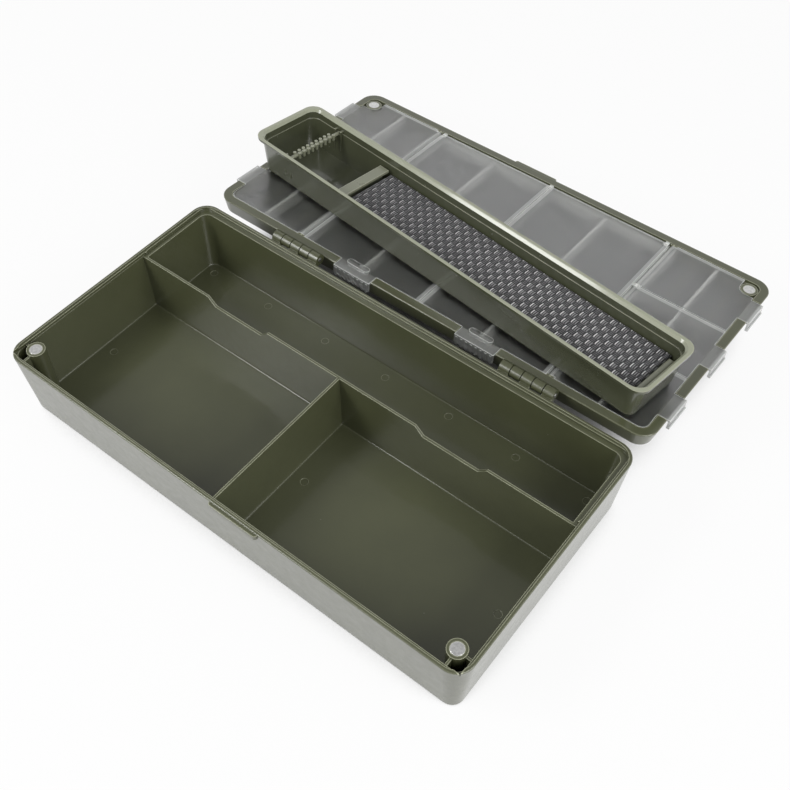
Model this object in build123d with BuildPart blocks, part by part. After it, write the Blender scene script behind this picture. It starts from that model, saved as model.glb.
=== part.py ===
import math
import os

from build123d import *

# box sizes in millimetres, read from the picture with the 8 mm magnets as scale
BOX_L = 350.0
BOX_W = 178.0
BASE_H = 52.0
LID_H = 12.5
CORNER_R = 12.0
LID_OVER = 4.7

# base tub
BASE_LEAN = 4.2
BASE_WALL = 3.4
BASE_FLOOR = 4.6
RABBET_W = 1.3
RABBET_H = 1.0
LEDGE_DROP = 3.0
LEDGE_W = 3.0
DIVIDER_T = 1.7
REAR_POCKET_W = 56.0
POCKET_R = 6.0
WALL_LEAN = 3.0
DIVIDER_LEAN = 0.8
NOTCH_X = 0.243 * BOX_L
NOTCH_TOP = 52.0
NOTCH_FOOT = 40.0
NOTCH_H = 6.0
FOOT_R = 2.5
FLOOR_R = 1.0
RIM_R = 0.8
MARK_R = 2.5
MARK_DEEP = 0.2
# rows of round mould marks on the floor: share of the width, then shares of the length
MARKS = ((0.40, (-0.45, -0.30, -0.15, 0, 0.15, 0.30, 0.45)), (0.21, (-0.37, 0.37)),
         (-0.14, (-0.455, -0.034, 0.034, 0.45)))

# main hinges, five knuckles each on a steel pin
HINGE_OUT = 5.5
HINGE_DROP = 0.8
HINGE_X = 0.267 * BOX_L
KNUCKLE_R = 4.0
KNUCKLE_PITCH = 8.0
KNUCKLE_COUNT = 5
KNUCKLE_GAP = 0.6
PIN_R = 1.5

# magnets and the tubes that hold them
MAGNET_R = 4.0
MAGNET_H = 4.0
BOSS_R = 6.0
BOSS_X = BOX_L / 2 - 12.7
BOSS_IN = 14.0
BOSS_RIB = 1.6
BOSS_DROP = 0.6

# thumb lips, side by side when the box is shut
LIP_L = 36.0
LIP_X = 19.0
LIP_OUT = 2.0
LIP_H = 3.2
LIP_DROP = 0.6

# lid shell
LID_LEAN = 2.8
LID_FLOOR = 1.5
RIM_W = 6.5
CELL_WALL = 2.0
SEAT_W = 1.0
HINGE_WALL = 6.6
LOW_RIB_T = 0.9
LOW_RIB_H = 0.8

# clear covers
END_HINGE_X = 0.29 * BOX_L
COVER_T = 1.4
COVER_DROP = 0.2
BARREL_R = 1.5
TRUNNION_R = 1.0
TRUNNION_L = 1.2
BARREL_DROP = 1.8
LUG_T = 3.0
LUG_W = 5.0
END_TONGUE_W = 22.0
CENTRE_TONGUE_W = 30.0
CENTRE_TONGUE_X = BOX_L / 7
FLANGE_T = 1.3
FLANGE_H = 7.0
FLANGE_LIP = 0.8
GRIP_L = 18.0
GRIP_W = 4.8
GRIP_H = 2.4
GRIP_IN = 6.3
FLANGE_RIBS = 8
FLANGE_RIB_T = 1.6
FLANGE_RIB_OUT = 0.35

# loose rig tray
TRAY_L = BOX_L - 10.0
TRAY_W = REAR_POCKET_W + 3.5
TRAY_H = 29.0
TRAY_R = 9.0
TRAY_RIM_W = 2.2
TRAY_RIM_T = 1.8
TRAY_STEP = 0.5
TRAY_STEP_Z = 23.0
TRAY_BEVEL = 2.0
BEVEL_IN = 0.3
TRAY_LEAN = 3.4
TRAY_WALL = 1.7
TRAY_FLOOR = 1.8
TRAY_X = -3.6
TRAY_Y = 50.6
TRAY_TURN = -6.6
STRIP_X = 82.0 - TRAY_L / 2
STRIP_W = 8.2
STRIP_T = 1.8
STRIP_H = 18.6
STRIP_WALL = 2.4
PAD_END = TRAY_L / 2 - 11.7
PAD_H = 16.5
PAD_R = 1.0
BAR_W = 4.8
BAR_T = 5.0
BAR_FOOT = 3.2
BAR_H = 17.8
BAR_R = 2.0
BAR_IN = 3.5
COMB_X = 32.2 - TRAY_L / 2
COMB_Z = 22.5
COMB_R = 1.3
TOOTH_R = 1.15
TOOTH_OUT = 1.4
TOOTH_H = 2.2
TOOTH_PITCH = 2.05
TOOTH_COUNT = 18
POST_L = 4.4
POST_T = 2.4
POST_RIB = 1.4
POST_UP = 2.6

# clearances
RIM_GAP = 0.2
FIT = 0.05
RUN = 0.1
COVER_GAP = 0.4
SEAT_GAP = 0.3
FLANGE_GAP = 0.5
TRAY_GAP = 0.3
PAD_GAP = 0.4

# worked out from the sizes above
HINGE_Y = BOX_W / 2 + HINGE_OUT
HINGE_Z = BASE_H - HINGE_DROP
LEDGE_Z = BASE_H - LEDGE_DROP
REAR_IN = BOX_W / 2 - BASE_WALL - LEDGE_W
DIVIDER_Y = REAR_IN - REAR_POCKET_W - DIVIDER_T / 2
BOSS_Y = -BOX_W / 2 + BOSS_IN
HINGE_L = KNUCKLE_COUNT * KNUCKLE_PITCH
KNUCKLE_W = KNUCKLE_PITCH - KNUCKLE_GAP
RIM_Z = -(HINGE_DROP + RIM_GAP)
LID_MID = HINGE_OUT + BOX_W / 2
LID_NEAR = HINGE_OUT + RIM_W
LID_FAR = HINGE_OUT + BOX_W - RIM_W
LID_END = BOX_L / 2 - RIM_W
LID_BACK = RIM_Z - LID_H
CELL_Z = LID_BACK + LID_FLOOR
COVER_TOP = RIM_Z - COVER_DROP
COVER_Z = COVER_TOP - COVER_T
SEAT_Z = COVER_Z - SEAT_GAP
AXIS_Z = RIM_Z - BARREL_DROP
GROOVE_Z = AXIS_Z - BARREL_R - SEAT_GAP
ROW_W = (LID_FAR - LID_NEAR) / 3
ROWS = [LID_NEAR + ROW_W * (i + 0.5) for i in range(3)]
FAR_AXIS_Y = LID_FAR - BARREL_R - COVER_GAP - 0.2
LID_BOSS_Y = HINGE_Y - BOSS_Y
TONGUE_Z = COVER_Z - SEAT_GAP
HINGE_EDGE = END_HINGE_X - HINGE_WALL / 2
CENTRE_END = HINGE_EDGE - FIT
END_MID = (LID_END - SEAT_W + END_HINGE_X + HINGE_WALL / 2) / 2
FAR_WALL_Y = FAR_AXIS_Y - LUG_W / 2
LUG_X = CENTRE_END - LUG_T / 2
END_FLANGE_X = BOX_L / 2 + FLANGE_GAP
NEAR_FLANGE_Y = HINGE_OUT - FLANGE_GAP
TRAY_TOP_L = TRAY_L - 2 * TRAY_RIM_W
TRAY_TOP_W = TRAY_W - 2 * TRAY_RIM_W
TRAY_FOOT_L = TRAY_TOP_L - 2 * TRAY_LEAN
TRAY_FOOT_W = TRAY_TOP_W - 2 * TRAY_LEAN
TRAY_SLOPE = TRAY_LEAN / TRAY_H
PAD_START = STRIP_X + STRIP_W / 2 + PAD_GAP
STRIP_TOP = TRAY_FLOOR + STRIP_H
COMB_L = TRAY_FOOT_W - 2 * TRAY_WALL + 4

# the open lid hangs from the hinge axis, and the tray lies on the lid
LID_PLACE = Location((0, HINGE_Y, HINGE_Z), (-LID_OVER, 0, 0))
TRAY_PLACE = LID_PLACE * Location((TRAY_X, HINGE_OUT + TRAY_Y, RIM_Z + TRAY_GAP), (0, 0, TRAY_TURN))


def block(x0, x1, y0, y1, z0, z1, mode=Mode.ADD):
    """A box between two corners."""
    with Locations(((x0 + x1) / 2, (y0 + y1) / 2, (z0 + z1) / 2)):
        Box(abs(x1 - x0), abs(y1 - y0), abs(z1 - z0), mode=mode)


def moulded(x, y, length, width, radius, z0, z1, lean, mode=Mode.ADD):
    """A rounded block whose walls lean outwards from its foot to its top."""
    with BuildSketch(Plane.XY.offset(z0)) as outline:
        with Locations((x, y)):
            RectangleRounded(length, width, radius)
    extrude(outline.sketch, amount=z1 - z0, taper=-math.degrees(math.atan2(lean, z1 - z0)), mode=mode)


def pocket(x0, x1, y0, y1, z0, z1, leans, round_at, radius):
    """A pocket from its mouth, the lean of its left, right, front and back walls, and its round corners."""
    left, right, near, back = leans
    outlines = []
    for z, a, b, c, d in ((z0, x0 + left, x1 - right, y0 + near, y1 - back), (z1, x0, x1, y0, y1)):
        with BuildSketch(Plane.XY.offset(z)) as outline:
            with Locations(((a + b) / 2, (c + d) / 2)):
                Rectangle(b - a, d - c)
            for sx, sy in round_at:
                corner = (a if sx < 0 else b, c if sy < 0 else d, 0)
                fillet(outline.vertices().sort_by_distance(corner)[0], radius)
        outlines.append(outline.sketch)
    loft(outlines, ruled=True, mode=Mode.SUBTRACT)


def along_x(x, y, z, radius, length, mode=Mode.ADD):
    """A round bar along the box."""
    with Locations(Location((x, y, z), (0, 90, 0))):
        Cylinder(radius, length, mode=mode)


def along_y(x, y, z, radius, length, mode=Mode.ADD):
    """A round bar across the box."""
    with Locations(Location((x, y, z), (90, 0, 0))):
        Cylinder(radius, length, mode=mode)


def upright(x, y, z0, z1, radius, mode=Mode.ADD):
    """A round post."""
    with Locations((x, y, z0)):
        Cylinder(radius, z1 - z0, align=(Align.CENTER, Align.CENTER, Align.MIN), mode=mode)


def knuckle_x(side, index):
    """Centre of one knuckle of a main hinge."""
    return side * HINGE_X + (index - (KNUCKLE_COUNT - 1) / 2) * KNUCKLE_PITCH


def thumb_lip(x, y, top):
    """A thin rounded lip standing out from a rim."""
    with BuildSketch(Plane.XY.offset(top - LIP_H)) as outline:
        with Locations((x, y)):
            RectangleRounded(LIP_L, 2 * LIP_OUT, 0.9 * LIP_OUT)
    extrude(outline.sketch, amount=LIP_H)


def end_cover(side, row):
    """A cover at one end of the lid: plate, hinge barrel, tongue over the rim and latch flange."""
    y0, y1 = row - ROW_W / 2 + COVER_GAP, row + ROW_W / 2 - COVER_GAP
    neck = ROW_W / 2 - LUG_T / 2 - COVER_GAP
    shoulder = END_HINGE_X + LUG_W / 2 + COVER_GAP
    outer = END_FLANGE_X + FLANGE_T
    block(side * shoulder, side * (LID_END - COVER_GAP), y0, y1, COVER_Z, COVER_TOP)
    block(side * END_HINGE_X, side * (shoulder + 1), row - neck, row + neck, COVER_Z, COVER_TOP)
    along_y(side * END_HINGE_X, row, AXIS_Z, BARREL_R, 2 * neck)
    along_y(side * END_HINGE_X, row, AXIS_Z, TRUNNION_R, 2 * (neck + COVER_GAP + TRUNNION_L))
    half = END_TONGUE_W / 2
    block(side * (LID_END - 1), side * outer, row - half, row + half, COVER_Z, COVER_TOP)
    block(side * END_FLANGE_X, side * outer, row - half, row + half, COVER_TOP - FLANGE_H, COVER_TOP)
    block(side * outer, side * (outer + FLANGE_LIP), row - half, row + half,
          COVER_TOP - FLANGE_H, COVER_TOP - FLANGE_H + FLANGE_T)


def boss_notch(side):
    """The round bite that a far cover leaves for the magnet tube in its corner."""
    bite = BOSS_R + COVER_GAP
    low, high = COVER_Z - 1, COVER_TOP + 1
    upright(side * BOSS_X, LID_BOSS_Y, low, high, bite, Mode.SUBTRACT)
    block(side * (BOSS_X - bite), side * LID_END, LID_BOSS_Y, LID_FAR, low, high, Mode.SUBTRACT)
    block(side * BOSS_X, side * LID_END, LID_BOSS_Y - bite, LID_FAR, low, high, Mode.SUBTRACT)


def rounded_corner(cover, side):
    """Rounds the corner of a cover that lies in the corner of the lid's recess by the main hinge."""
    corner = (side * (LID_END - COVER_GAP), LID_NEAR + COVER_GAP, COVER_TOP)
    fillet(cover.edges().filter_by(Axis.Z).sort_by_distance(corner)[0], CORNER_R - RIM_W)


def centre_cover(side):
    """A centre cover: plate, far hinge barrel, tongue over the rim by the main hinge, flange and grip."""
    lug = LUG_T / 2 + COVER_GAP
    edge = END_HINGE_X - LUG_W / 2 - COVER_GAP
    x0, x1 = lug, LUG_X - LUG_T / 2 - COVER_GAP
    mid, span = side * (x0 + x1) / 2, x1 - x0
    shoulder = FAR_WALL_Y - COVER_GAP
    outer = NEAR_FLANGE_Y - FLANGE_T
    block(side * COVER_GAP, side * edge, LID_NEAR + COVER_GAP, shoulder, COVER_Z, COVER_TOP)
    block(side * x0, side * x1, shoulder - 1, FAR_AXIS_Y, COVER_Z, COVER_TOP)
    along_x(mid, FAR_AXIS_Y, AXIS_Z, BARREL_R, span)
    along_x(mid, FAR_AXIS_Y, AXIS_Z, TRUNNION_R, span + 2 * (COVER_GAP + TRUNNION_L))
    left = side * CENTRE_TONGUE_X - CENTRE_TONGUE_W / 2
    right = left + CENTRE_TONGUE_W
    block(left, right, outer, LID_NEAR + 1, COVER_Z, COVER_TOP)
    block(left, right, outer, NEAR_FLANGE_Y, COVER_TOP - FLANGE_H, COVER_TOP)
    # upright ribs on the flange, a little longer than it
    pitch = CENTRE_TONGUE_W / FLANGE_RIBS
    for index in range(FLANGE_RIBS):
        rib = left + (index + 0.5) * pitch
        block(rib - FLANGE_RIB_T / 2, rib + FLANGE_RIB_T / 2, outer - FLANGE_RIB_OUT, NEAR_FLANGE_Y,
              COVER_TOP - FLANGE_H - FLANGE_LIP, COVER_TOP - FLANGE_T)
    with BuildSketch(Plane.XY.offset(COVER_TOP)) as grip:
        with Locations((side * CENTRE_TONGUE_X, HINGE_OUT + GRIP_IN)):
            SlotOverall(GRIP_L, GRIP_W)
    extrude(grip.sketch, amount=GRIP_H)


def end_dividers(side):
    """The walls between the cells at one end of the lid, with the hinge bed of the three covers there."""
    y0, y1 = LID_NEAR + SEAT_W + FIT, LID_FAR - SEAT_W - FIT
    bed0, bed1 = side * (END_HINGE_X - LUG_W / 2), side * (END_HINGE_X + LUG_W / 2)
    edges = [LID_NEAR + ROW_W, LID_NEAR + 2 * ROW_W]
    block(side * HINGE_EDGE, side * (END_HINGE_X + HINGE_WALL / 2), y0, y1, CELL_Z, SEAT_Z)
    block(side * (END_MID - CELL_WALL / 2), side * (END_MID + CELL_WALL / 2), y0, y1, CELL_Z, SEAT_Z)
    for y in edges:
        block(side * END_HINGE_X, side * (LID_END - SEAT_W - FIT), y - SEAT_W, y + SEAT_W, CELL_Z, SEAT_Z)
    block(bed0, bed1, y0, y1, GROOVE_Z, SEAT_Z, Mode.SUBTRACT)
    for y in edges:
        block(bed0, bed1, y - LUG_T / 2, y + LUG_T / 2, GROOVE_Z - 0.5, COVER_TOP)
    along_y(side * END_HINGE_X, LID_MID, AXIS_Z, TRUNNION_R + RUN, LID_FAR - LID_NEAR, Mode.SUBTRACT)


def magnet(x, y, top):
    """One disc magnet."""
    upright(x, y, top - MAGNET_H, top, MAGNET_R)


# base: one olive moulding with three compartments
with BuildPart() as base_tub:
    foot_l, foot_w = BOX_L - 2 * BASE_LEAN, BOX_W - 2 * BASE_LEAN
    moulded(0, 0, foot_l, foot_w, CORNER_R - BASE_LEAN, 0, BASE_H, BASE_LEAN)
    fillet(base_tub.faces().sort_by(Axis.Z)[0].edges(), FOOT_R)
    fillet(base_tub.faces().sort_by(Axis.Z)[-1].edges(), RIM_R)
    inner_x = BOX_L / 2 - BASE_WALL
    front = -BOX_W / 2 + BASE_WALL
    wall, thin = WALL_LEAN, DIVIDER_LEAN
    pocket(-inner_x + LEDGE_W, inner_x - LEDGE_W, DIVIDER_Y + DIVIDER_T / 2, REAR_IN, BASE_FLOOR, BASE_H,
           (wall, wall, thin, wall), ((-1, 1), (1, 1)), POCKET_R)
    pocket(-inner_x, -DIVIDER_T / 2, front, DIVIDER_Y - DIVIDER_T / 2, BASE_FLOOR, BASE_H,
           (wall, thin, wall, thin), ((-1, -1),), POCKET_R)
    pocket(DIVIDER_T / 2, inner_x, front, DIVIDER_Y - DIVIDER_T / 2, BASE_FLOOR, BASE_H,
           (thin, wall, wall, thin), ((1, -1),), POCKET_R)
    floors = [f for f in base_tub.faces() if abs(f.center().Z - BASE_FLOOR) < 0.01]
    fillet([e for f in floors for e in f.edges()], FLOOR_R)
    # seat for the rim of the tray, level with the tops of the dividers
    moulded(0, DIVIDER_Y - DIVIDER_T / 2 + (REAR_IN + LEDGE_W - DIVIDER_Y + DIVIDER_T / 2) / 2, 2 * inner_x,
            REAR_IN + LEDGE_W - DIVIDER_Y + DIVIDER_T / 2, POCKET_R, LEDGE_Z, BASE_H, 0.01, Mode.SUBTRACT)
    block(-inner_x, inner_x, front, DIVIDER_Y + DIVIDER_T, LEDGE_Z, BASE_H, Mode.SUBTRACT)
    moulded(0, 0, 2 * inner_x + 2 * RABBET_W, BOX_W - 2 * BASE_WALL + 2 * RABBET_W, CORNER_R - RABBET_W,
            BASE_H - RABBET_H, BASE_H, 0.01, Mode.SUBTRACT)
    # finger notches in the long divider
    with BuildSketch(Plane.XZ.offset(-DIVIDER_Y)):
        with Locations((-NOTCH_X, LEDGE_Z - NOTCH_H / 2), (NOTCH_X, LEDGE_Z - NOTCH_H / 2)):
            Trapezoid(NOTCH_TOP, NOTCH_H, math.degrees(math.atan2(NOTCH_H, (NOTCH_TOP - NOTCH_FOOT) / 2)),
                      rotation=180)
    extrude(amount=DIVIDER_T * 2, both=True, mode=Mode.SUBTRACT)
    # magnet tubes with a rib to each wall of the corner
    for side in (-1, 1):
        upright(side * BOSS_X, BOSS_Y, BASE_FLOOR - 1, BASE_H - BOSS_DROP, BOSS_R)
        for z0, z1, reach in ((BASE_FLOOR - 1, BASE_H / 2, -1.0), (BASE_H / 2, BASE_H - 4 * BOSS_DROP, 0.6)):
            block(side * BOSS_X, side * (inner_x + reach), BOSS_Y - BOSS_RIB / 2, BOSS_Y + BOSS_RIB / 2,
                  z0, z1)
            block(side * BOSS_X - BOSS_RIB / 2, side * BOSS_X + BOSS_RIB / 2, front - reach, BOSS_Y, z0, z1)
        upright(side * BOSS_X, BOSS_Y, BASE_H - BOSS_DROP - MAGNET_H, BASE_H, MAGNET_R, Mode.SUBTRACT)
    # round marks that the mould's pins leave on the floor
    with Locations(*[(x * BOX_L, y * BOX_W, BASE_FLOOR) for y, xs in MARKS for x in xs]):
        Cylinder(MARK_R, 2 * MARK_DEEP, mode=Mode.SUBTRACT)
    thumb_lip(LIP_X, -BOX_W / 2, BASE_H - LIP_DROP)
    # outer and middle knuckles of both hinges
    for side in (-1, 1):
        for index in (0, 2, 4):
            x = knuckle_x(side, index)
            along_x(x, HINGE_Y, HINGE_Z, KNUCKLE_R, KNUCKLE_W)
            block(x - KNUCKLE_W / 2, x + KNUCKLE_W / 2, BOX_W / 2 - BASE_WALL / 2, HINGE_Y,
                  HINGE_Z - KNUCKLE_R, HINGE_Z - RIM_GAP)
        along_x(side * HINGE_X, HINGE_Y, HINGE_Z, PIN_R, HINGE_L, Mode.SUBTRACT)
base_tub.part.label = "base_tub"

with BuildPart() as base_magnet_left:
    magnet(-BOSS_X, BOSS_Y, BASE_H - BOSS_DROP)
base_magnet_left.part.label = "base_magnet_left"

with BuildPart() as base_magnet_right:
    magnet(BOSS_X, BOSS_Y, BASE_H - BOSS_DROP)
base_magnet_right.part.label = "base_magnet_right"

with BuildPart() as hinge_pin_left:
    along_x(-HINGE_X, HINGE_Y, HINGE_Z, PIN_R, HINGE_L)
hinge_pin_left.part.label = "hinge_pin_left"

with BuildPart() as hinge_pin_right:
    along_x(HINGE_X, HINGE_Y, HINGE_Z, PIN_R, HINGE_L)
hinge_pin_right.part.label = "hinge_pin_right"

# lid: a shallow olive shell, drawn flat with the hinge axis as its origin
with BuildPart() as lid_shell:
    moulded(0, LID_MID, BOX_L - 2 * LID_LEAN, BOX_W - 2 * LID_LEAN, CORNER_R - LID_LEAN,
            LID_BACK, RIM_Z, LID_LEAN)
    fillet(lid_shell.faces().sort_by(Axis.Z)[0].edges(), FOOT_R)
    fillet(lid_shell.faces().sort_by(Axis.Z)[-1].edges(), RIM_R)
    # recess that the covers lie in, and below its narrow seat the room for the cells
    moulded(0, LID_MID, 2 * LID_END, LID_FAR - LID_NEAR, CORNER_R - RIM_W, SEAT_Z, RIM_Z, 0.01, Mode.SUBTRACT)
    moulded(0, LID_MID, 2 * (LID_END - SEAT_W), LID_FAR - LID_NEAR - 2 * SEAT_W, CORNER_R - RIM_W - SEAT_W,
            CELL_Z, SEAT_Z + 1, 0.01, Mode.SUBTRACT)
    bed = END_HINGE_X - LUG_W / 2
    block(-bed, bed, FAR_WALL_Y, LID_FAR, GROOVE_Z, SEAT_Z, Mode.SUBTRACT)
    for side in (-1, 1):
        # low ribs on the floors of the end cells
        for a, b in ((END_HINGE_X + HINGE_WALL / 2, END_MID - CELL_WALL / 2),
                     (END_MID + CELL_WALL / 2, LID_END - SEAT_W)):
            rib = side * (a + b) / 2
            for row in ROWS:
                y0, y1 = row - ROW_W / 2 + 2 * SEAT_W, row + ROW_W / 2 - 2 * SEAT_W
                block(rib - LOW_RIB_T / 2, rib + LOW_RIB_T / 2, y0, y1, CELL_Z - 0.5, CELL_Z + LOW_RIB_H)
        # lugs on the rim for the outermost trunnions of the end covers
        for y0, y1 in ((LID_NEAR - 1, LID_NEAR + LUG_T / 2), (LID_FAR - LUG_T / 2, LID_FAR + 1)):
            block(side * bed, side * (bed + LUG_W), y0, y1, GROOVE_Z, COVER_TOP)
        along_y(side * END_HINGE_X, LID_MID, AXIS_Z, TRUNNION_R + RUN, LID_FAR - LID_NEAR, Mode.SUBTRACT)
    # gaps in the rim for the latch tongues
    for side in (-1, 1):
        for row in ROWS:
            half = END_TONGUE_W / 2 + COVER_GAP
            block(side * (LID_END - 1), side * (BOX_L / 2 + 1), row - half, row + half, TONGUE_Z, RIM_Z + 1,
                  Mode.SUBTRACT)
        half = CENTRE_TONGUE_W / 2 + COVER_GAP
        block(side * CENTRE_TONGUE_X - half, side * CENTRE_TONGUE_X + half, HINGE_OUT - 1, LID_NEAR + 1,
              TONGUE_Z, RIM_Z + 1, Mode.SUBTRACT)
        # magnet tubes in the far corners
        upright(side * BOSS_X, LID_BOSS_Y, CELL_Z - 0.5, COVER_TOP, BOSS_R)
        upright(side * BOSS_X, LID_BOSS_Y, COVER_TOP - MAGNET_H, COVER_TOP, MAGNET_R, Mode.SUBTRACT)
    thumb_lip(-LIP_X, HINGE_OUT + BOX_W, RIM_Z - LIP_DROP)
    # the knuckles between those of the base
    for side in (-1, 1):
        for index in (1, 3):
            x = knuckle_x(side, index)
            along_x(x, 0, 0, KNUCKLE_R, KNUCKLE_W)
            block(x - KNUCKLE_W / 2, x + KNUCKLE_W / 2, 0, HINGE_OUT + RIM_W / 2, -KNUCKLE_R, RIM_Z)
            along_x(x, 0, 0, PIN_R + FIT, KNUCKLE_PITCH, Mode.SUBTRACT)
lid_shell.part.label = "lid_shell"

# dividers that stand on the floor of the lid and carry the hinge beds of the covers
with BuildPart() as lid_dividers_left:
    end_dividers(-1)
lid_dividers_left.part.label = "lid_dividers_left"

with BuildPart() as lid_dividers_right:
    end_dividers(1)
lid_dividers_right.part.label = "lid_dividers_right"

with BuildPart() as lid_dividers_centre:
    far_wall = LID_FAR - SEAT_W - FIT
    block(-CENTRE_END, CENTRE_END, FAR_WALL_Y, far_wall, CELL_Z, GROOVE_Z)
    for x in (-HINGE_EDGE / 2, 0, HINGE_EDGE / 2):
        block(x - CELL_WALL / 2, x + CELL_WALL / 2, LID_NEAR + SEAT_W + FIT, FAR_WALL_Y + 1, CELL_Z, SEAT_Z)
    for x in (-LUG_X, 0, LUG_X):
        block(x - LUG_T / 2, x + LUG_T / 2, FAR_WALL_Y, far_wall, GROOVE_Z - 0.5, COVER_TOP)
        block(x - LUG_T / 2, x + LUG_T / 2, far_wall - 1, LID_FAR, GROOVE_Z, COVER_TOP)
    along_x(0, FAR_AXIS_Y, AXIS_Z, TRUNNION_R + RUN, 2 * CENTRE_END, Mode.SUBTRACT)
lid_dividers_centre.part.label = "lid_dividers_centre"

with BuildPart() as lid_magnet_left:
    magnet(-BOSS_X, LID_BOSS_Y, COVER_TOP)
lid_magnet_left.part.label = "lid_magnet_left"

with BuildPart() as lid_magnet_right:
    magnet(BOSS_X, LID_BOSS_Y, COVER_TOP)
lid_magnet_right.part.label = "lid_magnet_right"

with BuildPart() as cover_left_hinge:
    end_cover(-1, ROWS[0])
    rounded_corner(cover_left_hinge, -1)
cover_left_hinge.part.label = "cover_left_hinge"

with BuildPart() as cover_left_middle:
    end_cover(-1, ROWS[1])
cover_left_middle.part.label = "cover_left_middle"

with BuildPart() as cover_left_far:
    end_cover(-1, ROWS[2])
    boss_notch(-1)
cover_left_far.part.label = "cover_left_far"

with BuildPart() as cover_centre_left:
    centre_cover(-1)
cover_centre_left.part.label = "cover_centre_left"

with BuildPart() as cover_centre_right:
    centre_cover(1)
cover_centre_right.part.label = "cover_centre_right"

with BuildPart() as cover_right_hinge:
    end_cover(1, ROWS[0])
    rounded_corner(cover_right_hinge, 1)
cover_right_hinge.part.label = "cover_right_hinge"

with BuildPart() as cover_right_middle:
    end_cover(1, ROWS[1])
cover_right_middle.part.label = "cover_right_middle"

with BuildPart() as cover_right_far:
    end_cover(1, ROWS[2])
    boss_notch(1)
cover_right_far.part.label = "cover_right_far"

# tray: drawn flat about its own middle
with BuildPart() as tray_shell:
    moulded(0, 0, TRAY_FOOT_L, TRAY_FOOT_W, TRAY_R - TRAY_LEAN, 0, TRAY_H, TRAY_LEAN)
    fillet(tray_shell.faces().sort_by(Axis.Z)[0].edges(), FOOT_R)
    moulded(0, 0, TRAY_L, TRAY_W, TRAY_R, TRAY_H - TRAY_RIM_T, TRAY_H, 0.01)
    # the walls are a little thicker below a step that runs all round
    for wall, z0, z1 in ((TRAY_WALL + TRAY_STEP, TRAY_FLOOR, TRAY_STEP_Z), (TRAY_WALL, TRAY_STEP_Z, TRAY_H)):
        inset = wall + (TRAY_H - z1) * TRAY_SLOPE
        pocket(inset - TRAY_TOP_L / 2, TRAY_TOP_L / 2 - inset, inset - TRAY_TOP_W / 2, TRAY_TOP_W / 2 - inset,
               z0, z1, ((z1 - z0) * TRAY_SLOPE,) * 4, ((-1, -1), (-1, 1), (1, -1), (1, 1)),
               TRAY_R - TRAY_WALL)
    # the mouth flares out to the rim, from a little inside the walls
    inset = 2 * (TRAY_WALL + TRAY_BEVEL * TRAY_SLOPE + BEVEL_IN)
    moulded(0, 0, TRAY_TOP_L - inset, TRAY_TOP_W - inset, TRAY_R - TRAY_WALL, TRAY_H - TRAY_BEVEL, TRAY_H,
            TRAY_BEVEL, Mode.SUBTRACT)
    # cradles that hold the toothed bar between two ribs
    for side in (-1, 1):
        wall = TRAY_FOOT_W / 2 + COMB_Z * TRAY_SLOPE
        y0, y1 = side * (wall - TRAY_WALL - POST_T), side * (wall - 1)
        block(COMB_X - POST_L / 2, COMB_X + POST_L / 2, y0, y1, COMB_Z - 6, COMB_Z)
        for end in (-1, 1):
            rib = COMB_X + end * (POST_L + POST_RIB) / 2
            block(rib - POST_RIB / 2, rib + POST_RIB / 2, y0, y1, COMB_Z - 14, COMB_Z + POST_UP)
    along_y(COMB_X, 0, COMB_Z, COMB_R, COMB_L, Mode.SUBTRACT)
tray_shell.part.label = "tray_shell"

with BuildPart() as tray_comb:
    along_y(COMB_X, 0, COMB_Z, COMB_R, COMB_L)
    for index in range(TOOTH_COUNT):
        across = TOOTH_OUT if index % 2 else -TOOTH_OUT
        along = (index - (TOOTH_COUNT - 1) / 2) * TOOTH_PITCH
        upright(COMB_X + across, along, COMB_Z - TOOTH_H, COMB_Z + TOOTH_H, TOOTH_R)
tray_comb.part.label = "tray_comb"

half_floor = TRAY_FOOT_W / 2 - TRAY_WALL - TRAY_STEP - PAD_GAP
with BuildPart() as tray_strip:
    foot = STRIP_X - STRIP_W / 2
    block(foot, foot + STRIP_WALL, -half_floor, half_floor, TRAY_FLOOR, STRIP_TOP)
    block(foot, foot + STRIP_W, -half_floor, half_floor, STRIP_TOP - STRIP_T, STRIP_TOP)
tray_strip.part.label = "tray_strip"

with BuildPart() as tray_bar:
    x0, z1 = PAD_END + PAD_GAP, TRAY_FLOOR + BAR_H
    reach = half_floor - BAR_IN
    block(x0, x0 + BAR_W, -reach, reach, z1 - BAR_T, z1)
    fillet(tray_bar.faces().sort_by(Axis.Z)[-1].edges(), BAR_R)
    block(x0, x0 + BAR_FOOT, BAR_IN - reach, reach - BAR_IN, TRAY_FLOOR, z1 - BAR_R)
tray_bar.part.label = "tray_bar"

with BuildPart() as tray_pad:
    lean = PAD_H * TRAY_SLOPE
    moulded((PAD_START + PAD_END) / 2, 0, PAD_END - PAD_START - 2 * lean, 2 * half_floor, PAD_R,
            TRAY_FLOOR + FIT, TRAY_FLOOR + PAD_H, lean)
tray_pad.part.label = "tray_pad"

# everything on the lid goes to its place on the open lid, and the tray's pieces to theirs
for piece in (lid_shell, lid_dividers_left, lid_dividers_centre, lid_dividers_right, lid_magnet_left,
              lid_magnet_right, cover_left_hinge, cover_left_middle, cover_left_far, cover_centre_left,
              cover_centre_right, cover_right_hinge, cover_right_middle, cover_right_far):
    piece.part.move(LID_PLACE)
for piece in (tray_shell, tray_comb, tray_strip, tray_bar, tray_pad):
    piece.part.move(TRAY_PLACE)

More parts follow.
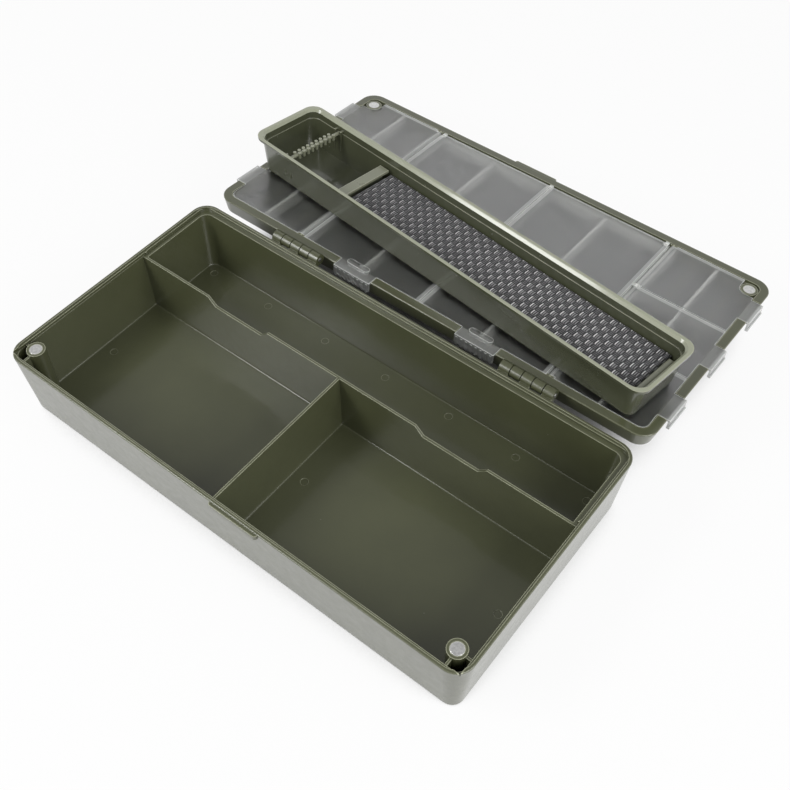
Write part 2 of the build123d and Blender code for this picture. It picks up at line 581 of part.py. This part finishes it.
os.makedirs("parts", exist_ok=True)
export_step(base_tub.part, "parts/base_tub.step")
export_step(base_magnet_left.part, "parts/base_magnet_left.step")
export_step(base_magnet_right.part, "parts/base_magnet_right.step")
export_step(hinge_pin_left.part, "parts/hinge_pin_left.step")
export_step(hinge_pin_right.part, "parts/hinge_pin_right.step")
export_step(lid_shell.part, "parts/lid_shell.step")
export_step(lid_dividers_left.part, "parts/lid_dividers_left.step")
export_step(lid_dividers_centre.part, "parts/lid_dividers_centre.step")
export_step(lid_dividers_right.part, "parts/lid_dividers_right.step")
export_step(lid_magnet_left.part, "parts/lid_magnet_left.step")
export_step(lid_magnet_right.part, "parts/lid_magnet_right.step")
export_step(cover_left_hinge.part, "parts/cover_left_hinge.step")
export_step(cover_left_middle.part, "parts/cover_left_middle.step")
export_step(cover_left_far.part, "parts/cover_left_far.step")
export_step(cover_centre_left.part, "parts/cover_centre_left.step")
export_step(cover_centre_right.part, "parts/cover_centre_right.step")
export_step(cover_right_hinge.part, "parts/cover_right_hinge.step")
export_step(cover_right_middle.part, "parts/cover_right_middle.step")
export_step(cover_right_far.part, "parts/cover_right_far.step")
export_step(tray_shell.part, "parts/tray_shell.step")
export_step(tray_comb.part, "parts/tray_comb.step")
export_step(tray_strip.part, "parts/tray_strip.step")
export_step(tray_bar.part, "parts/tray_bar.step")
export_step(tray_pad.part, "parts/tray_pad.step")
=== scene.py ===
import math

import bpy
import numpy as np
from mathutils import Matrix, Vector


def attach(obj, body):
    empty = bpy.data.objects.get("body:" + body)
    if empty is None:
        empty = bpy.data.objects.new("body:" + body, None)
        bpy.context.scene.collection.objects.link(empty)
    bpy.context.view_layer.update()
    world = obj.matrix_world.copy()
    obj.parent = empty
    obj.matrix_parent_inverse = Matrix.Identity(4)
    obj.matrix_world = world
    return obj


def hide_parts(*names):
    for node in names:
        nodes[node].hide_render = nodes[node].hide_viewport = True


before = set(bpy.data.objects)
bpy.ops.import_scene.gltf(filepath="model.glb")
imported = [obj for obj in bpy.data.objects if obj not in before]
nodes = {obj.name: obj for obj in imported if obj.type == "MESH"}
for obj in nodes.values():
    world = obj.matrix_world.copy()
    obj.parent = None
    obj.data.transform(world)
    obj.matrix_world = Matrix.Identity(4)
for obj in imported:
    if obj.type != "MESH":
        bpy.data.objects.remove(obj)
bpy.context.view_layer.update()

# Lengths are in millimetres where they are multiplied by MM, and in metres elsewhere.
MM = 0.001

# where the open lid and the tray on it stand, as in the solids
LID_OVER = math.radians(4.7)
HINGE = Vector((0, 94.5, 51.2)) * MM
TRAY_AT = Vector((-3.6, 56.1, -0.7)) * MM
TRAY_TURN = math.radians(-6.6)
LID_UP = Vector((0, math.sin(LID_OVER), math.cos(LID_OVER)))
LID_OUT = Vector((0, math.cos(LID_OVER), -math.sin(LID_OVER)))
LID_PLACE = Matrix.Translation(HINGE) @ Matrix.Rotation(-LID_OVER, 4, "X")
TRAY_PLACE = LID_PLACE @ Matrix.Translation(TRAY_AT) @ Matrix.Rotation(TRAY_TURN, 4, "Z")
ALONG = (1.0, 0.0, 0.0)

# camera fitted to the photograph
EYE = Vector((0.2773, -0.2779, 0.5583))
LOOK = Vector((-0.3748, 0.4867, -0.789))
RIGHT = Vector((0.7892, 0.6142, 0.004))
LENS, SENSOR = 48.42, 36.0
CLIP = (0.01, 50.0)

# outer edges: light reach inside the solid on a flat face and at a sharp edge
EDGE_FLAT, EDGE_SHARP = 0.92, 0.5
EDGE_SAMPLES, ROUND_SAMPLES = 8, 6
# how far up a face looks before its edges get the painted highlight, none and all
HIGHLIGHT_UP = (-0.05, 0.4)
# what counts as facing up for a band of another tone
BAND_UP = 0.4
NOISE_MID = (0.3, 0.7)
PLASTIC_IOR = 1.5

# moulded plastic; noise scales are per metre
CLOUD_SCALE, CLOUD_DARK, CLOUD_LIGHT = 22.0, 0.9, 1.08
GRAIN_SCALE, GRAIN_SHARE, GRAIN_LIGHT, GRAIN_DEPTH = 1900.0, 0.14, 1.5, 0.0004
# painted highlight along outer edges: how far it reaches, and the scale and range of the noise that breaks it up
EDGE_HIGHLIGHT_REACH, EDGE_HIGHLIGHT_BREAK_SCALE, EDGE_HIGHLIGHT_BREAK_RANGE = 0.8, 110.0, (-0.2, 0.55)
# reach of the hinge knuckles round their axis; they get no painted edge highlight
KNUCKLE = 4.3
DUST_SCALE, DUST_SIZE, DUST_SHARE = 95.0, 0.035, 0.25
DUST_PATCH, DUST_LIMIT = 31.0, 0.62
DUST_TONE = (0.42, 0.42, 0.38, 1.0)
GLOSS_SCALE = 160.0
WAVE_SCALE, WAVE_DEPTH = 26.0, 0.001
PLASTIC_ROUND = 0.5

# clear covers; in the lid's frame, what lies nearer the hinge or further along the lid than this is a latch
LATCH_Y, LATCH_X = 12.0, 168.6
# width of the thicker border along the ends and the far edge of a cover
BORDER = 2.8
CLEAR_TONE = (0.62, 0.633, 0.62, 1.0)
LATCH_TONE = (0.36, 0.37, 0.36, 1.0)
# pale tone of the painted highlight on a cover's upward-facing edges, and how far it reaches
CLEAR_HIGHLIGHT_TONE = (0.86, 0.88, 0.85, 1.0)
CLEAR_HIGHLIGHT_REACH = 0.6
STREAK_STRETCH, STREAK_RANGE, STREAK_SHARE = (900.0, 40.0, 900.0), (0.35, 0.7), 0.45
SOLID_SHARE, SOLID_MOST = 0.7, 0.5
CLEAR_ALPHA = 0.35
CLEAR_ROUGH, CLEAR_ROUGH_MORE = 0.285, 0.03
CLEAR_STRETCH = (25.0, 8.0, 25.0)
CLEAR_IOR = 1.68
CLEAR_COAT_ROUGH = 0.02
CLEAR_ROUND = 0.35
CLEAR_WAVE_SCALE, CLEAR_WAVE, CLEAR_WAVE_DEPTH = 34.0, 0.06, 0.0008

# metal
POLISH_SCALE, POLISH_RANGE, POLISH_DARK = 700.0, (0.3, 0.75), 0.7
LINE_ROUGH, LINE_DEPTH, LINE_BUMP = 0.25, 0.0003, 0.12
METAL_ROUND = 0.5

# yarn
FIBRE_SCALE, FIBRE_RANGE, FIBRE_SHARE = 900.0, (0.45, 0.75), 0.25
FIBRE_TONE = (0.12, 0.12, 0.125, 1.0)
FIBRE_BUMP, FIBRE_DEPTH = 0.1, 0.0002
PATCH_SCALE = 55.0
YARN_DARK, YARN_LIGHT = (0.105, 0.105, 0.109, 1.0), (0.150, 0.150, 0.155, 1.0)
# painted shade: near black where the weave lies low between the bundles, fading out over this range of lift
YARN_GAP_SHADE = (0.002, 0.002, 0.003, 1.0)
GAP_SHADE_RANGE = (0.56, 1.0)
# the painted highlight on the leading strands grows brighter along the tray, between these places
YARN_HIGHLIGHT_DULL, YARN_HIGHLIGHT_BRIGHT = 0.42, 0.80
YARN_HIGHLIGHT_FROM, YARN_HIGHLIGHT_TO = -0.10, 0.06
YARN_ROUGH, YARN_ROUGH_MORE = 0.35, 0.25

# woven pad in the tray's frame: outline, foot, top, draft of its sides
PAD_X0, PAD_X1 = -83.2, 158.0
PAD_HALF = 23.3
PAD_Z0, PAD_TOP = 1.95, 18.2
PAD_LEAN = 0.117
PAD_RINGS = (14.0, 8.0, PAD_Z0)
# its weave: size of a bundle, yarns in it, spacing of the mesh, height, and the share of the painted highlight on
# the first yarn and on the others
CELL_L, CELL_W = 4.4, 4.3
STRANDS = 3
STEP = 0.29
WEAVE = 1.1
YARN_HIGHLIGHT_FIRST, YARN_HIGHLIGHT_NEXT = 1.0, 0.26
ARCH_REACH, ARCH_POWER, ARCH_ROUND = 1.96, 4, 0.6
STRAND_ROUND = 1.1
STRAND_LOW = 0.25
WEAVE_MID = 0.55
# where on the arch and across the strand the painted highlight lies
SHINE_ARCH, SHINE_ARCH_SPAN = 0.2, 0.3
SHINE_STRAND, SHINE_STRAND_SPAN = 0.62, 0.3
# its edge: width and drop of the rounding, share of the weave that is left there; and its slow sag
EDGE_WIDTH, EDGE_DROP, EDGE_WEAVE = 1.6, 1.5, 0.4
TOP_DROP = 0.6
SAG, SAG_X, SAG_Y = 0.3, 23.0, 15.0
# lift given to the pad's drafted sides; it lies in the painted shade, so the sides are near black
SIDE_LIFT = 0.5

# floor and world
FLOOR_HALF = 4
FLOOR_SAMPLES, FLOOR_REACH = 24, 0.07
# floor tone, and a painted shadow: a darker tone and less white to the eye where the sky is hidden
FLOOR_TONE, FLOOR_SHADOW_TONE, FLOOR_SHADOW_RANGE = 0.74, 0.1, (0.05, 0.4)
FLOOR_WHITE, FLOOR_WHITE_RANGE = 0.92, (0.3, 0.55)
DOME_RANGE, DOME_FALL = (0.1, 0.85), 0.55
DOME_LIGHT = 0.68

# softboxes: name, place, aim, width, depth, radiance
LAMPS = (
    ("back_box", (-0.34, 0.80, 0.62), (0.0, 0.19, 0.05), 0.8, 0.6, 0.2),
    ("key_box", (-0.55, -0.85, 0.75), (0.0, 0.10, 0.05), 0.55, 0.55, 6.9),
    ("right_box", (1.25, -0.10, 0.85), (0.0, 0.0, 0.03), 1.0, 0.9, 5.5),
    ("rim_box", (-0.645, -0.556, 0.98), (0.03, 0.20, 0.075), 0.3, 0.3, 10.0),
)


class Graph:
    """A node tree that is filled by short calls."""

    def __init__(self, tree):
        self.tree = tree
        tree.nodes.clear()

    def put(self, kind, settings=None, **inputs):
        """Adds a node. A low line in the name of an input stands for a space."""
        node = self.tree.nodes.new(kind)
        for key, value in (settings or {}).items():
            setattr(node, key, value)
        for key, value in inputs.items():
            self.set(node, key.replace("_", " "), value)
        return node

    def set(self, node, key, value):
        """Links or sets an input, by its name or by its number as text."""
        socket = node.inputs[int(key)] if key.isdigit() else node.inputs[key]
        if isinstance(value, bpy.types.NodeSocket):
            self.tree.links.new(value, socket)
        else:
            socket.default_value = value

    def math(self, operation, a, b=0.0, clamp=False):
        node = self.put("ShaderNodeMath", {"operation": operation, "use_clamp": clamp})
        self.set(node, "0", a)
        self.set(node, "1", b)
        return node.outputs[0]

    def times(self, a, b):
        return self.math("MULTIPLY", a, b)

    def vector(self, operation, a, b):
        node = self.put("ShaderNodeVectorMath", {"operation": operation})
        self.set(node, "0", a)
        self.set(node, "1", b)
        return node.outputs["Value"]

    def blend(self, factor, a, b):
        node = self.put("ShaderNodeMix", {"data_type": "RGBA"})
        self.set(node, "0", factor)
        self.set(node, "6", a)
        self.set(node, "7", b)
        return node.outputs[2]

    def ramp(self, value, low, high):
        """0 at low and below, 1 at high and above."""
        node = self.put("ShaderNodeMapRange", {"clamp": True}, Value=value)
        node.inputs["From Min"].default_value = low
        node.inputs["From Max"].default_value = high
        return node.outputs[0]

    def noise(self, where, scale, detail=3.0, rough=0.55):
        node = self.put("ShaderNodeTexNoise", Vector=where, Scale=scale, Detail=detail, Roughness=rough)
        return node.outputs["Fac"]

    def stretched(self, where, scale):
        node = self.put("ShaderNodeMapping", Vector=where)
        node.inputs["Scale"].default_value = scale
        return node.outputs[0]

    def upward(self):
        """How far a face looks up from the open lid, from -1 to 1."""
        return self.vector("DOT_PRODUCT", self.put("ShaderNodeTexCoord").outputs["Normal"], LID_UP)

    def edges(self, reach_mm):
        """How near a point lies to an outer edge, from 0 on a flat face to 1."""
        inside = self.put("ShaderNodeAmbientOcclusion",
                          {"inside": True, "only_local": True, "samples": EDGE_SAMPLES},
                          Distance=reach_mm * MM)
        return self.ramp(inside.outputs["AO"], EDGE_FLAT, EDGE_SHARP)

    def rounded(self, radius_mm):
        """Normal of a surface whose edges are rounded."""
        return self.put("ShaderNodeBevel", {"samples": ROUND_SAMPLES}, Radius=radius_mm * MM).outputs[0]

    def bump(self, height, strength, distance, normal=None):
        node = self.put("ShaderNodeBump", Height=height, Strength=strength, Distance=distance)
        if normal is not None:
            self.set(node, "Normal", normal)
        return node.outputs[0]


def new_material(name):
    """A material with its graph, its shader and the coordinates of the resting part."""
    made = bpy.data.materials.new(name)
    made.use_nodes = True
    g = Graph(made.node_tree)
    shader = g.put("ShaderNodeBsdfPrincipled")
    out = g.put("ShaderNodeOutputMaterial")
    made.node_tree.links.new(shader.outputs[0], out.inputs["Surface"])
    where = g.put("ShaderNodeTexCoord").outputs["Object"]
    return made, g, shader, where


def opaque(colour, scale=1.0):
    return tuple(c * scale for c in colour) + (1.0,)


def grey(v):
    return (v, v, v, 1.0)


def plastic(name, colour, edge_highlight_tone, rough=0.34, coat=0.6, shine=0.13, grain=0.04, wavy=0.2, band=None):
    """Satin moulded plastic: cloudy tone, fine grain, a painted highlight along upward-facing edges and a few
    specks of dust.
    """
    made, g, shader, where = new_material(name)
    cloud = g.ramp(g.noise(where, CLOUD_SCALE, 4.0), *NOISE_MID)
    fine = g.ramp(g.noise(where, GRAIN_SCALE, 2.0), 0.25, 0.75)
    tone = g.blend(cloud, opaque(colour, CLOUD_DARK), opaque(colour, CLOUD_LIGHT))
    tone = g.blend(g.times(fine, GRAIN_SHARE), tone, opaque(colour, GRAIN_LIGHT))
    upward = g.upward()
    if band:
        # another tone on what faces up between two heights over the lid's hinge axis; on the tray's rim this is a
        # painted highlight
        other, low, high = band
        level = g.math("SUBTRACT", g.vector("DOT_PRODUCT", where, LID_UP), HINGE.dot(LID_UP))
        within = g.times(g.math("GREATER_THAN", level, low * MM), g.math("LESS_THAN", level, high * MM))
        tone = g.blend(g.times(within, g.math("GREATER_THAN", upward, BAND_UP)), tone, opaque(other))
    # painted highlight: a paler tone on outer edges that face up, broken up by noise, and none on the hinge
    # knuckles
    edge_highlight = g.times(g.edges(EDGE_HIGHLIGHT_REACH), g.ramp(g.noise(where, EDGE_HIGHLIGHT_BREAK_SCALE, 4.0), *EDGE_HIGHLIGHT_BREAK_RANGE))
    edge_highlight = g.times(edge_highlight, g.ramp(upward, *HIGHLIGHT_UP))
    from_axis = g.vector("DISTANCE", g.stretched(where, (0.0, 1.0, 1.0)), HINGE)
    edge_highlight = g.times(edge_highlight, g.math("GREATER_THAN", from_axis, KNUCKLE * MM))
    tone = g.blend(edge_highlight, tone, opaque(edge_highlight_tone))
    dust = g.put("ShaderNodeTexVoronoi", {"feature": "F1"}, Vector=where, Scale=DUST_SCALE)
    spot = g.math("LESS_THAN", dust.outputs["Distance"], DUST_SIZE)
    rare = g.math("GREATER_THAN", g.noise(where, DUST_PATCH, 1.0), DUST_LIMIT)
    tone = g.blend(g.times(g.times(spot, rare), DUST_SHARE), tone, DUST_TONE)
    g.set(shader, "Base Color", tone)
    uneven = g.times(g.math("SUBTRACT", g.noise(where, GLOSS_SCALE, 5.0), 0.5), wavy)
    g.set(shader, "Roughness", g.math("ADD", rough, uneven))
    shader.inputs["IOR"].default_value = PLASTIC_IOR
    shader.inputs["Coat Weight"].default_value = coat
    shader.inputs["Coat Roughness"].default_value = shine
    shader.inputs["Coat IOR"].default_value = PLASTIC_IOR
    wave = g.bump(g.noise(where, WAVE_SCALE, 2.0), wavy, WAVE_DEPTH, g.rounded(PLASTIC_ROUND))
    g.set(shader, "Normal", g.bump(fine, grain, GRAIN_DEPTH, wave))
    return made


def clear_plastic(name, cover):
    """Clear plastic with a soft gloss: most light passes straight; paler at its borders and latches, with a painted
    highlight on its upward-facing edges.
    """
    made, g, shader, where = new_material(name)
    # painted highlight: outer edges that face up are paler and less clear
    rim = g.times(g.edges(CLEAR_HIGHLIGHT_REACH), g.ramp(g.upward(), *HIGHLIGHT_UP))
    across = g.math("SUBTRACT", g.vector("DOT_PRODUCT", where, LID_OUT), HINGE.dot(LID_OUT))
    along = g.vector("DOT_PRODUCT", where, ALONG)
    latch = g.math("ADD", g.math("LESS_THAN", across, LATCH_Y * MM),
                   g.math("GREATER_THAN", g.math("ABSOLUTE", along), LATCH_X * MM), True)
    streak = g.ramp(g.noise(g.stretched(where, STREAK_STRETCH), 1.0, 3.0, 0.6), *STREAK_RANGE)
    latch = g.times(latch, g.math("ADD", 1 - STREAK_SHARE, g.times(streak, STREAK_SHARE)))
    tone = g.blend(latch, CLEAR_TONE, LATCH_TONE)
    g.set(shader, "Base Color", g.blend(rim, tone, CLEAR_HIGHLIGHT_TONE))
    spots = [v.co for v in cover.data.vertices]
    left, right = min(v.x for v in spots), max(v.x for v in spots)
    far = max((v - HINGE).dot(LID_OUT) for v in spots)
    from_end = g.math("MINIMUM", g.math("SUBTRACT", along, left), g.math("SUBTRACT", right, along))
    from_side = g.math("MINIMUM", from_end, g.math("SUBTRACT", far, across))
    border = g.math("LESS_THAN", from_side, BORDER * MM)
    thick = g.math("MAXIMUM", g.times(latch, SOLID_SHARE), g.times(border, SOLID_SHARE))
    # the painted highlight also makes those edges less clear
    solid = g.math("ADD", g.times(thick, SOLID_MOST), rim)
    g.set(shader, "Transmission Weight", g.math("SUBTRACT", 1.0, solid, True))
    g.set(shader, "Alpha", g.math("ADD", solid, CLEAR_ALPHA, True))
    cloud = g.ramp(g.noise(g.stretched(where, CLEAR_STRETCH), 1.0, 2.0), *NOISE_MID)
    g.set(shader, "Roughness", g.math("ADD", CLEAR_ROUGH, g.times(cloud, CLEAR_ROUGH_MORE)))
    shader.inputs["IOR"].default_value = CLEAR_IOR
    shader.inputs["Coat Weight"].default_value = 1.0
    shader.inputs["Coat Roughness"].default_value = CLEAR_COAT_ROUGH
    ripple = g.noise(where, CLEAR_WAVE_SCALE, 1.0)
    g.set(shader, "Normal", g.bump(ripple, CLEAR_WAVE, CLEAR_WAVE_DEPTH, g.rounded(CLEAR_ROUND)))
    return made


def metal(name, colour, rough, stretch):
    """Plated or drawn metal with fine lines and a cloudy polish."""
    made, g, shader, where = new_material(name)
    lines = g.noise(g.stretched(where, stretch), 1.0, 5.0, 0.65)
    cloud = g.ramp(g.noise(where, POLISH_SCALE, 4.0), *POLISH_RANGE)
    g.set(shader, "Base Color", g.blend(cloud, opaque(colour, POLISH_DARK), opaque(colour)))
    shader.inputs["Metallic"].default_value = 1.0
    g.set(shader, "Roughness", g.math("ADD", rough, g.times(lines, LINE_ROUGH)))
    g.set(shader, "Normal", g.bump(lines, LINE_BUMP, LINE_DEPTH, g.rounded(METAL_ROUND)))
    return made


def yarn(name):
    """Dark synthetic yarn: painted shade, near black, between the bundles, grey on them, and a painted highlight on
    the leading strands.
    """
    made, g, shader, where = new_material(name)
    fibre = g.noise(where, FIBRE_SCALE, 3.0, 0.6)
    patch = g.ramp(g.noise(where, PATCH_SCALE, 3.0), *NOISE_MID)
    lift = g.put("ShaderNodeAttribute", {"attribute_name": "lift"}).outputs["Fac"]
    strand_highlight = g.put("ShaderNodeAttribute", {"attribute_name": "strand_highlight"}).outputs["Fac"]
    # painted shade: near black where the weave lies low
    tone = g.blend(g.ramp(lift, *GAP_SHADE_RANGE), YARN_GAP_SHADE, g.blend(patch, YARN_DARK, YARN_LIGHT))
    tone = g.blend(g.times(g.ramp(fibre, *FIBRE_RANGE), FIBRE_SHARE), tone, FIBRE_TONE)
    # painted highlight on the leading strands, brighter along the tray
    bright = g.ramp(g.vector("DOT_PRODUCT", where, ALONG), YARN_HIGHLIGHT_FROM, YARN_HIGHLIGHT_TO)
    tone = g.blend(strand_highlight, tone, g.blend(bright, grey(YARN_HIGHLIGHT_DULL), grey(YARN_HIGHLIGHT_BRIGHT)))
    g.set(shader, "Base Color", tone)
    g.set(shader, "Roughness", g.math("ADD", YARN_ROUGH, g.times(fibre, YARN_ROUGH_MORE)))
    shader.inputs["IOR"].default_value = PLASTIC_IOR
    g.set(shader, "Normal", g.bump(fibre, FIBRE_BUMP, FIBRE_DEPTH))
    return made


OLIVE_TONE = (0.064, 0.069, 0.034)
# pale tone of the painted highlight along upward-facing edges
EDGE_HIGHLIGHT_TONE = (0.40, 0.41, 0.29)
CELL_TONE = (0.043, 0.045, 0.045)
# paler tone painted on the top of the tray's rim as a highlight
RIM_HIGHLIGHT_TONE = (0.28, 0.295, 0.21)
OLIVE = plastic("olive_plastic", OLIVE_TONE, EDGE_HIGHLIGHT_TONE)
LID_OLIVE = plastic("lid_plastic", OLIVE_TONE, EDGE_HIGHLIGHT_TONE, band=(CELL_TONE, -20.0, -6.0))
# the tray's rim top gets a paler band: a painted highlight
TRAY_OLIVE = plastic("tray_plastic", (0.057, 0.062, 0.036), EDGE_HIGHLIGHT_TONE, rough=0.26, coat=0.8, shine=0.08,
                     grain=0.02, wavy=0.07, band=(RIM_HIGHLIGHT_TONE, 26.2, 40.0))
# lighter olive for the strip, bar and comb: part their own tone, part a painted reflection
LIGHT_OLIVE_AND_SHEEN = plastic("light_olive_plastic", (0.185, 0.194, 0.135), (0.42, 0.43, 0.33), rough=0.3)
CELL_GREY = plastic("cell_plastic", (0.43, 0.44, 0.415), (0.80, 0.81, 0.78), rough=0.3)
MAGNET = metal("plated_magnet", (0.86, 0.86, 0.85), 0.22, (900.0, 900.0, 900.0))
STEEL = metal("drawn_steel", (0.62, 0.62, 0.61), 0.2, (60.0, 2500.0, 2500.0))
YARN = yarn("woven_yarn")

# the covers get a clear plastic each, and what is left over is a magnet
FINISH = {
    "base_tub": OLIVE, "lid_shell": LID_OLIVE,
    "lid_dividers_left": CELL_GREY, "lid_dividers_centre": CELL_GREY, "lid_dividers_right": CELL_GREY,
    "tray_shell": TRAY_OLIVE, "tray_comb": LIGHT_OLIVE_AND_SHEEN, "tray_strip": LIGHT_OLIVE_AND_SHEEN, "tray_bar": LIGHT_OLIVE_AND_SHEEN,
    "tray_pad": YARN, "hinge_pin_left": STEEL, "hinge_pin_right": STEEL,
}
for name, node in nodes.items():
    finish = FINISH.get(name) or (clear_plastic(name + "_plastic", node) if name.startswith("cover_") else MAGNET)
    node.data.materials.clear()
    node.data.materials.append(finish)


def weave(x, y):
    """Height in millimetres, how far a bundle is lifted, and the painted highlight near a leading strand."""
    u, v = x / CELL_L, y / CELL_W
    i, j = np.floor(u), np.floor(v)
    across = (i + j) % 2 < 1
    du, dv = u - i - 0.5, v - j - 0.5
    along = np.where(across, dv, du)
    side = np.where(across, du, dv)
    arch = np.clip(1 - np.abs(ARCH_REACH * along) ** ARCH_POWER, 0, 1) ** ARCH_ROUND
    strand = np.abs(np.sin(STRANDS * np.pi * (side + 0.5))) ** STRAND_ROUND
    lift = arch * (STRAND_LOW + (1 - STRAND_LOW) * strand)
    # painted highlight on the crests of the strands, strongest on the first yarn of each bundle
    share = np.where(side < -0.5 + 1 / STRANDS, YARN_HIGHLIGHT_FIRST, YARN_HIGHLIGHT_NEXT)
    shine = (np.clip((arch - SHINE_ARCH) / SHINE_ARCH_SPAN, 0, 1)
             * np.clip((strand - SHINE_STRAND) / SHINE_STRAND_SPAN, 0, 1))
    return WEAVE * (lift - WEAVE_MID), lift, np.where(across, share * shine, 0.0)


def woven_pad():
    """The pad: a woven top of bundles of yarns over and under each other, plain drafted sides and a flat foot."""
    xs = np.linspace(PAD_X0, PAD_X1, int(round((PAD_X1 - PAD_X0) / STEP)) + 1)
    ys = np.linspace(-PAD_HALF, PAD_HALF, int(round(2 * PAD_HALF / STEP)) + 1)
    gx, gy = np.meshgrid(xs, ys, indexing="ij")
    high, lift, strand_highlight = weave(gx, gy)
    rim = np.minimum(np.minimum(gx - PAD_X0, PAD_X1 - gx), PAD_HALF - np.abs(gy))
    edge = np.clip(rim / EDGE_WIDTH, 0, 1)
    sag = SAG * np.sin(gx / SAG_X) * np.cos(gy / SAG_Y) - SAG
    top = (PAD_TOP - TOP_DROP * WEAVE + high * (EDGE_WEAVE + (1 - EDGE_WEAVE) * edge) + sag
           - EDGE_DROP * (1 - edge) ** 2)
    nx, ny = gx.shape
    points = list(zip(gx.ravel(), gy.ravel(), top.ravel()))
    faces = [(i * ny + j, (i + 1) * ny + j, (i + 1) * ny + j + 1, i * ny + j + 1)
             for i in range(nx - 1) for j in range(ny - 1)]
    loop = ([i * ny for i in range(nx)] + [(nx - 1) * ny + j for j in range(1, ny)]
            + [i * ny + ny - 1 for i in range(nx - 2, -1, -1)] + [j for j in range(ny - 2, 0, -1)])
    rings = [loop]
    middle, half = (PAD_X0 + PAD_X1) / 2, (PAD_X1 - PAD_X0) / 2
    for z in PAD_RINGS:
        inward = (PAD_TOP - z) * PAD_LEAN
        ring = []
        for k in loop:
            x, y, _ = points[k]
            ring.append(len(points))
            points.append((middle + (x - middle) * (1 - inward / half), y * (1 - inward / PAD_HALF), z))
        rings.append(ring)
    count = len(loop)
    for upper, lower in zip(rings, rings[1:]):
        for k in range(count):
            n = (k + 1) % count
            faces.append((upper[n], upper[k], lower[k], lower[n]))
    faces.append(tuple(reversed(rings[-1])))
    mesh = bpy.data.meshes.new("woven_pad")
    mesh.from_pydata([tuple(TRAY_PLACE @ (Vector(p) * MM)) for p in points], [], faces)
    mesh.validate()
    for name, field, beside in (("lift", lift, SIDE_LIFT), ("strand_highlight", strand_highlight, 0.0)):
        values = np.full(len(points), beside, np.float32)
        values[:field.size] = field.ravel()
        mesh.attributes.new(name, "FLOAT", "POINT").data.foreach_set("value", values)
    mesh.polygons.foreach_set("use_smooth", [True] * len(mesh.polygons))
    mesh.materials.append(YARN)
    made = bpy.data.objects.new("woven_pad", mesh)
    bpy.context.scene.collection.objects.link(made)
    return made


pad = woven_pad()
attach(pad, "pad")
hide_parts("tray_pad")


def pale_floor():
    """Floor: white to the eye where the sky reaches it, with a painted shadow that makes it dark in the gaps under
    the part.
    """
    mesh = bpy.data.meshes.new("floor")
    h = FLOOR_HALF
    mesh.from_pydata([(-h, -h, 0), (h, -h, 0), (h, h, 0), (-h, h, 0)], [], [(0, 1, 2, 3)])
    made = bpy.data.objects.new("floor", mesh)
    bpy.context.scene.collection.objects.link(made)
    ground = bpy.data.materials.new("pale_floor")
    ground.use_nodes = True
    g = Graph(ground.node_tree)
    path = g.put("ShaderNodeLightPath")
    seen = g.math("ADD", path.outputs["Is Camera Ray"], path.outputs["Is Glossy Ray"], True)
    seen = g.math("ADD", seen, path.outputs["Is Transmission Ray"], True)
    sky_seen = g.put("ShaderNodeAmbientOcclusion", {"samples": FLOOR_SAMPLES}, Distance=FLOOR_REACH).outputs["AO"]
    white = g.put("ShaderNodeEmission", Color=grey(1.0), Strength=1.0)
    # painted shadow: the floor's tone darkens where the sky is hidden
    tone = g.blend(g.ramp(sky_seen, *FLOOR_SHADOW_RANGE), grey(FLOOR_SHADOW_TONE), grey(FLOOR_TONE))
    matt = g.put("ShaderNodeBsdfDiffuse", Color=tone)
    mixed = g.put("ShaderNodeMixShader")
    # the white to the eye also fades into the painted shadow
    g.set(mixed, "0", g.times(g.times(seen, FLOOR_WHITE), g.ramp(sky_seen, *FLOOR_WHITE_RANGE)))
    g.set(mixed, "1", matt.outputs[0])
    g.set(mixed, "2", white.outputs[0])
    g.set(g.put("ShaderNodeOutputMaterial"), "Surface", mixed.outputs[0])
    mesh.materials.append(ground)
    return made


def studio_world():
    """World: white to the eye, darker overhead in reflections, and softer still as light."""
    world = bpy.data.worlds.new("studio")
    bpy.context.scene.world = world
    world.use_nodes = True
    g = Graph(world.node_tree)
    path = g.put("ShaderNodeLightPath")
    toward = g.put("ShaderNodeTexCoord").outputs["Generated"]
    height = g.put("ShaderNodeSeparateXYZ", Vector=toward).outputs["Z"]
    dome = g.math("SUBTRACT", 1.0, g.times(g.ramp(height, *DOME_RANGE), DOME_FALL))
    glossy = g.math("ADD", path.outputs["Is Glossy Ray"], path.outputs["Is Transmission Ray"], True)
    strength = g.math("ADD", g.times(glossy, dome),
                      g.times(g.math("SUBTRACT", 1.0, glossy), g.times(dome, DOME_LIGHT)))
    eye = path.outputs["Is Camera Ray"]
    strength = g.math("ADD", eye, g.times(g.math("SUBTRACT", 1.0, eye), strength))
    sky = g.put("ShaderNodeBackground", Color=grey(1.0), Strength=strength)
    g.set(g.put("ShaderNodeOutputWorld"), "Surface", sky.outputs[0])


def softbox(name, at, aim, width, depth, radiance):
    lamp = bpy.data.lights.new(name, "AREA")
    lamp.shape = "RECTANGLE"
    lamp.size, lamp.size_y = width, depth
    lamp.energy = radiance * math.pi * width * depth
    thing = bpy.data.objects.new(name, lamp)
    thing.location = at
    thing.rotation_euler = (Vector(aim) - Vector(at)).to_track_quat("-Z", "Y").to_euler()
    bpy.context.scene.collection.objects.link(thing)


def photo_camera():
    """Camera that looks as the photograph does."""
    lens = bpy.data.cameras.new("camera")
    lens.sensor_fit = "HORIZONTAL"
    lens.sensor_width = SENSOR
    lens.lens = LENS
    lens.clip_start, lens.clip_end = CLIP
    camera = bpy.data.objects.new("camera", lens)
    bpy.context.scene.collection.objects.link(camera)
    back = -LOOK.normalized()
    right = (RIGHT - RIGHT.dot(back) * back).normalized()
    up = back.cross(right)
    camera.matrix_world = Matrix.Translation(EYE) @ Matrix((right, up, back)).transposed().to_4x4()
    bpy.context.scene.camera = camera


floor = pale_floor()
studio_world()
for lamp_row in LAMPS:
    softbox(*lamp_row)
photo_camera()
bpy.context.scene.view_settings.view_transform = "Standard"
